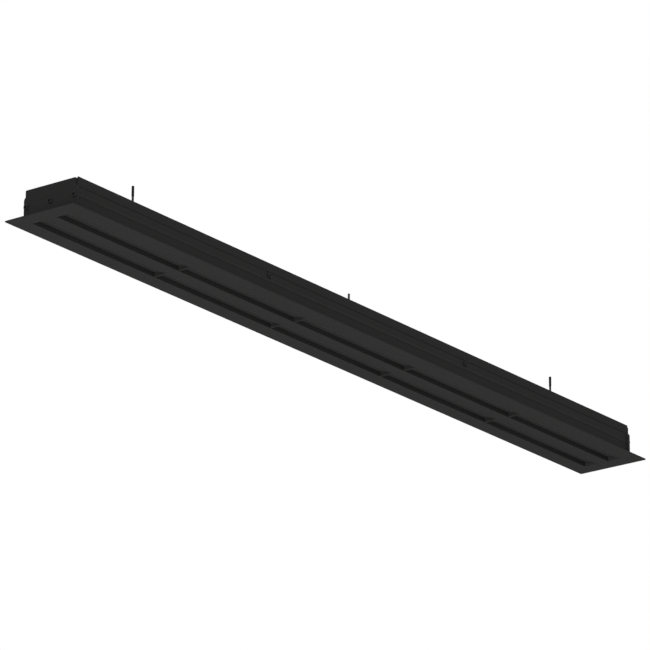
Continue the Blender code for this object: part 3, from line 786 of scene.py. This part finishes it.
screw_black = blackened("screw_black_oxide", 0.018)
# painted shade: a darker copy of the screws' oxide in the end screws' hex sockets
shaded_socket_oxide = blackened("end_socket_painted_shade_oxide", 0.008)
# painted light: a paler copy of the screws' oxide in the side screws' sockets
lit_socket_oxide = blackened("side_socket_painted_light_oxide", 0.026)
end_screw, end_screw_faces = screw_surface(length=0.0145)
for place, axis, side in (("left", "-X", -1), ("right", "X", 1)):
    seat = side * (BODY_END + PLATE + HEAD_GAP)
    for number, y in enumerate((-PORT_Y, 0.0, PORT_Y), 1):
        name = f"{place}_end_screw_{number}"
        screwed_in(f"cap_{name}", end_screw, end_screw_faces, axis, (seat, y, PORT_Z), name, shaded_socket_oxide)
side_screw, side_screw_faces = screw_surface(length=0.006)
for place, axis, side in (("front", "-Y", -1), ("rear", "Y", 1)):
    for end, x in (("left", -SIDE_SCREW_X), ("right", SIDE_SCREW_X)):
        foot = (x, side * (WALL_OUTER + HEAD_GAP), SIDE_SCREW_Z)
        name = f"{place}_side_screw_{end}"
        screwed_in(f"wall_screw_{place}_{end}", side_screw, side_screw_faces, axis, foot, name, lit_socket_oxide)

# Three steel nut plates slide in the centre rail's channel. Each is sheared from bar with eased corners and
# tapped through for its rod.

HANGER_X = (-0.3698, 0.007, 0.3932)
NUT_PLATE_LOW = 0.0242
NUT_PLATE_TOP = 0.0272
NUT_PLATE_LONG = 0.004  # half lengths along and across the channel
NUT_PLATE_WIDE = 0.00495
NUT_CORNER = 0.0006
NUT_RIM = 0.0003
TAPPED = 0.00140

nut_zinc = zinc_plate("nut_zinc", 0.22, (1.0, 1.0, 1.0))
for number, x in enumerate(HANGER_X, 1):
    low, high = x - NUT_PLATE_LONG, x + NUT_PLATE_LONG
    plate_line = eased([
        (low, -NUT_PLATE_WIDE, NUT_CORNER),
        (high, -NUT_PLATE_WIDE, NUT_CORNER),
        (high, NUT_PLATE_WIDE, NUT_CORNER),
        (low, NUT_PLATE_WIDE, NUT_CORNER),
    ])
    tapped = circle((x, 0.0), TAPPED, 32)
    plate = carried(f"slide_nut_{number}", [plate_line, tapped], "Z", NUT_PLATE_LOW, NUT_PLATE_TOP, NUT_RIM)
    fitted(plate, nut_zinc, "grille_frame", "channel_nuts", f"channel_nut_{number}")

# A hexagon lock nut on each rod clamps it to the channel's lips. It is cold-formed with both faces
# chamfered, so that the corners fall off in shallow arcs, and plated like the nut plates.

LOCK_FLATS = 0.0055
LOCK_LOW = 0.02905
LOCK_TOP = 0.0315
MOUTH = 0.0003  # countersink's depth and width


def lock_nut_surface(steps=72):
    """Points and faces of a hexagon nut with a bore, as one closed ring of rings.

    The hexagon's radius is h(t) = apothem / cos(t off the nearest flat). The chamfer starts at 0.95 of
    the apothem and falls by tan 30 degrees of the way out to h(t). The bore's mouths are countersunk.
    """
    angle = np.linspace(0.0, math.tau, steps, endpoint=False)
    off_flat = np.mod(angle, math.pi / 3) - math.pi / 6
    hexagon = LOCK_FLATS / 2 / np.cos(off_flat)
    start = np.full(steps, LOCK_FLATS / 2 * 0.95)
    fall = np.tan(math.pi / 6) * (hexagon - start)
    bore, mouth = np.full(steps, TAPPED), np.full(steps, TAPPED + MOUTH)
    flat = np.zeros(steps)
    radius = np.stack([bore, mouth, start, hexagon, hexagon, start, mouth, bore])
    top, low = LOCK_TOP + flat, LOCK_LOW + flat
    rise = np.stack([top - MOUTH, top, top, top - fall, low + fall, low, low, low + MOUTH])
    grid = np.stack([radius * np.cos(angle), radius * np.sin(angle), rise], axis=-1)
    ring, place = np.meshgrid(np.arange(8), np.arange(steps), indexing="ij")
    following, after = (ring + 1) % 8, (place + 1) % steps
    quads = [ring * steps + place, following * steps + place, following * steps + after, ring * steps + after]
    return grid.reshape(-1, 3), np.stack(quads, axis=-1).reshape(-1, 4).tolist()


lock_nut, lock_nut_faces = lock_nut_surface()
for number, x in enumerate(HANGER_X, 1):
    nut = shaped(f"jam_nut_{number}", lies_along(lock_nut, "Z", (x, 0.0, 0.0)), lock_nut_faces)
    fitted(nut, nut_zinc, "grille_frame", "lock_nuts", f"lock_nut_{number}")

# The suspension rods are fine-threaded steel, rolled along their length and plated. The outer two are
# turned down at the top to a plain spigot that carries a sleeve, and the middle one ends in a chamfer.

HANGER = 0.0013
HANGER_FOOT = 0.0242
HANGER_TOP = 0.0654
SLEEVED_TOP = 0.0638
SPIGOT = 0.0008
SPIGOT_TOP = 0.0718
HANGER_PITCH = 0.00045
HANGER_DEPTH = 0.00016
HANGER_CHAMFER = 0.0003
HANGER_ROOT = 0.0010  # radius where the thread runs out
SPIGOT_CHAMFER = 0.0002


def hanger_surface(top, spigot_top=None, steps=24):
    """Points and faces of a threaded rod about Z: its radius less a triangle wave of z / pitch - t / 2 pi.

    A plain spigot stands on top of it where spigot_top gives its height.
    """
    angle = np.linspace(0.0, math.tau, steps, endpoint=False)
    rows = np.arange(top - HANGER_CHAMFER, HANGER_FOOT + HANGER_CHAMFER, -HANGER_PITCH / 4)
    wave = np.abs(np.mod(rows[:, None] / HANGER_PITCH - angle / math.tau, 1.0) * 2 - 1)
    thread = HANGER - HANGER_DEPTH * wave
    plain = np.ones((1, steps))
    above, above_rise = [0 * plain, 0.0009 * plain], [top, top]
    if spigot_top is not None:
        tip = (SPIGOT - SPIGOT_CHAMFER) * plain
        above = [0 * plain, tip, SPIGOT * plain, SPIGOT * plain, HANGER_ROOT * plain]
        above_rise = [spigot_top, spigot_top, spigot_top - SPIGOT_CHAMFER, top, top]
    radius = np.vstack([*above, thread, HANGER_ROOT * plain, 0 * plain])
    return revolved(radius, np.concatenate([above_rise, rows, [HANGER_FOOT, HANGER_FOOT]]), steps)


hanger_zinc = zinc_plate("hanger_rod_zinc", 0.06, (1.0, 1.0, 0.05))
for number, x in enumerate(HANGER_X, 1):
    tops = (HANGER_TOP, None) if number == 2 else (SLEEVED_TOP, SPIGOT_TOP)
    points, faces = hanger_surface(*tops)
    hanger = shaped(f"hanger_{number}", lies_along(points, "Z", (x, 0.0, 0.0)), faces)
    fitted(hanger, hanger_zinc, "grille_frame", "hanger_rods", f"hanger_rod_{number}")

# Black polyethylene sleeves are pushed on the outer rods' spigots. They are moulded in two halves, which
# leaves a fine seam down both sides, and have a rounded top and a small bead round the mouth.

SLEEVE = 0.00145
SLEEVE_LOW = 0.0641
SLEEVE_TOP = 0.0758
SLEEVE_BORE = 0.0010
SLEEVE_CEILING = 0.0721
SLEEVE_ROUND = 0.00045
BEAD = 0.00003


def sleeve_surface(steps=48):
    """Points and faces of a sleeve about Z, closed above and open below.

    Its radius grows by up to 2 per cent where |cos t| passes 0.97, which makes the two mould seams.
    """
    angle = np.linspace(0.0, math.tau, steps, endpoint=False)
    seam = 1 + 0.02 * np.maximum(np.abs(np.cos(angle)) - 0.97, 0.0) / 0.03
    turn = np.linspace(0.0, math.pi / 2, 6)[1:]
    top_across = SLEEVE - SLEEVE_ROUND + SLEEVE_ROUND * np.sin(turn)
    top = np.stack([top_across, SLEEVE_TOP - SLEEVE_ROUND * (1 - np.cos(turn))], axis=1)
    side = [(SLEEVE - BEAD, SLEEVE_TOP - 0.004), (SLEEVE - BEAD, SLEEVE_LOW + 0.0011)]
    bead = [(SLEEVE, SLEEVE_LOW + 0.0009), (SLEEVE, SLEEVE_LOW + 0.0002), (SLEEVE - 0.00015, SLEEVE_LOW)]
    inside = [(SLEEVE_BORE, SLEEVE_LOW), (SLEEVE_BORE, SLEEVE_CEILING - 0.0002), (0.0008, SLEEVE_CEILING)]
    crown = [(0.0, SLEEVE_TOP), (SLEEVE - 0.0005, SLEEVE_TOP)]
    profile = np.vstack([crown, top, side, bead, inside, [(0.0, SLEEVE_CEILING)]])
    ribbed = (profile[:, 0] > SLEEVE - 0.0004)[:, None]
    radius = profile[:, :1] * np.where(ribbed, seam, 1.0)
    return revolved(radius, profile[:, 1], steps)


def moulded(name, grey):
    """Black moulded plastic: an even near-black with a fine spark-eroded grain and a soft sheen."""
    made, tree, shader = coat_nodes(name, 0.5, 0.1)
    cloud = noise(tree, 500.0, 2.0)
    grain = noise(tree, 6000.0, 3.0)
    shade = swing(tree, cloud, 0.1)
    tree.links.new(tinted(tree, shade, (grey, grey, grey * 1.02)), shader.inputs["Base Color"])
    tree.links.new(ranged(tree, grain, 0.3, 0.7, 0.44, 0.58), shader.inputs["Roughness"])
    embossed(tree, shader, grain, 0.2, 0.00003)
    return made


sleeve_black = moulded("sleeve_black_plastic", 0.006)
sleeve_points, sleeve_faces = sleeve_surface()
for number in (1, 3):
    foot = (HANGER_X[number - 1], 0.0, 0.0)
    sleeve = shaped(f"end_sleeve_{number}", lies_along(sleeve_points, "Z", foot), sleeve_faces)
    fitted(sleeve, sleeve_black, "grille_frame", "rod_sleeves", f"rod_sleeve_{number}")

# A pale floor lies far below, out of the view, and large soft lamps stand round the grille. The world is
# white where the camera looks straight at it, and a dim studio for everything else.

floor_at = -9.0
floor_half = 40.0
corners = [(x * floor_half, y * floor_half, floor_at) for x, y in ((-1, -1), (1, -1), (1, 1), (-1, 1))]
floor = shaped("floor", np.array(corners), [[0, 1, 2, 3]])
floor_paint = bpy.data.materials.new("floor_paint")
floor_paint.use_nodes = True
floor_shader = floor_paint.node_tree.nodes["Principled BSDF"]
floor_shader.inputs["Base Color"].default_value = (0.85, 0.85, 0.85, 1.0)
floor_shader.inputs["Roughness"].default_value = 0.9
floor.data.materials.append(floor_paint)

world = bpy.data.worlds.new("studio")
world.use_nodes = True
bpy.context.scene.world = world
sky = world.node_tree
background = sky.nodes["Background"]
background.inputs["Color"].default_value = (1.0, 1.0, 1.0, 1.0)
ray = sky.nodes.new("ShaderNodeLightPath")
seen = reckoned(sky, "MAXIMUM", ray.outputs["Is Camera Ray"], ray.outputs["Is Transmission Ray"])
seen = reckoned(sky, "MAXIMUM", seen, ray.outputs["Is Glossy Ray"])
sky.links.new(ranged(sky, seen, 0.0, 1.0, 0.6, 1.0), background.inputs["Strength"])


def facing(back, name, data, place):
    """A new lamp or camera at place whose own +Z is the direction back, level from side to side."""
    back = np.asarray(back, float) / np.linalg.norm(back)
    side = np.cross((0.0, 0.0, 1.0) if abs(back[2]) < 0.99 else (0.0, 1.0, 0.0), back)
    side /= np.linalg.norm(side)
    top = np.cross(back, side)
    made = bpy.data.objects.new(name, data)
    made.location = place
    made.rotation_euler = Matrix(np.stack([side, top, back], axis=1).tolist()).to_euler()
    bpy.context.scene.collection.objects.link(made)
    return made, side, top


LAMPS = (
    ("lamp_below", (-0.4, -0.4, -2.0), 2.0, 24.3),
    ("lamp_front", (-0.6, -2.6, 0.0), 1.8, 14.0),
    ("lamp_left", (-2.7, -0.5, -0.75), 1.8, 20.5),
    ("lamp_above", (0.4, 0.4, 2.4), 2.0, 14.0),
    ("lamp_back", (1.0, 2.6, 0.3), 1.8, 16.0),
)
for name, place, size, power in LAMPS:
    light = bpy.data.lights.new(name, "AREA")
    light.size = size
    light.energy = power
    facing(place, name, light, place)

# The camera stands below the grille and to its left, a long lens six metres off, as a catalogue picture
# of a ceiling grille is taken.

turn, tilt, roll = math.radians(-52.79), math.radians(-19.55), math.radians(0.24)
distance = 5.974
focal_pixels = 5462.0
picture_width = 650.0
picture_middle = 324.5
seen_origin = np.array([343.80, 347.48])  # pixel of the face's middle
shift = np.array([0.001, 0.0, 0.0])
back = np.array([math.sin(turn) * math.cos(tilt), -math.cos(turn) * math.cos(tilt), math.sin(tilt)])
lens = bpy.data.cameras.new("camera")
lens.sensor_width = 36.0
lens.lens = lens.sensor_width * focal_pixels / picture_width
lens.clip_end = 150.0
camera, side, top = facing(back, "camera", lens, (0.0, 0.0, 0.0))
side, top = math.cos(roll) * side + math.sin(roll) * top, math.cos(roll) * top - math.sin(roll) * side
camera.rotation_euler = Matrix(np.stack([side, top, back], axis=1).tolist()).to_euler()
across, down = (seen_origin - picture_middle) * distance / focal_pixels
camera.location = back * distance - side * across + top * down - shift
bpy.context.scene.camera = camera
bpy.context.scene.view_settings.view_transform = "Standard"
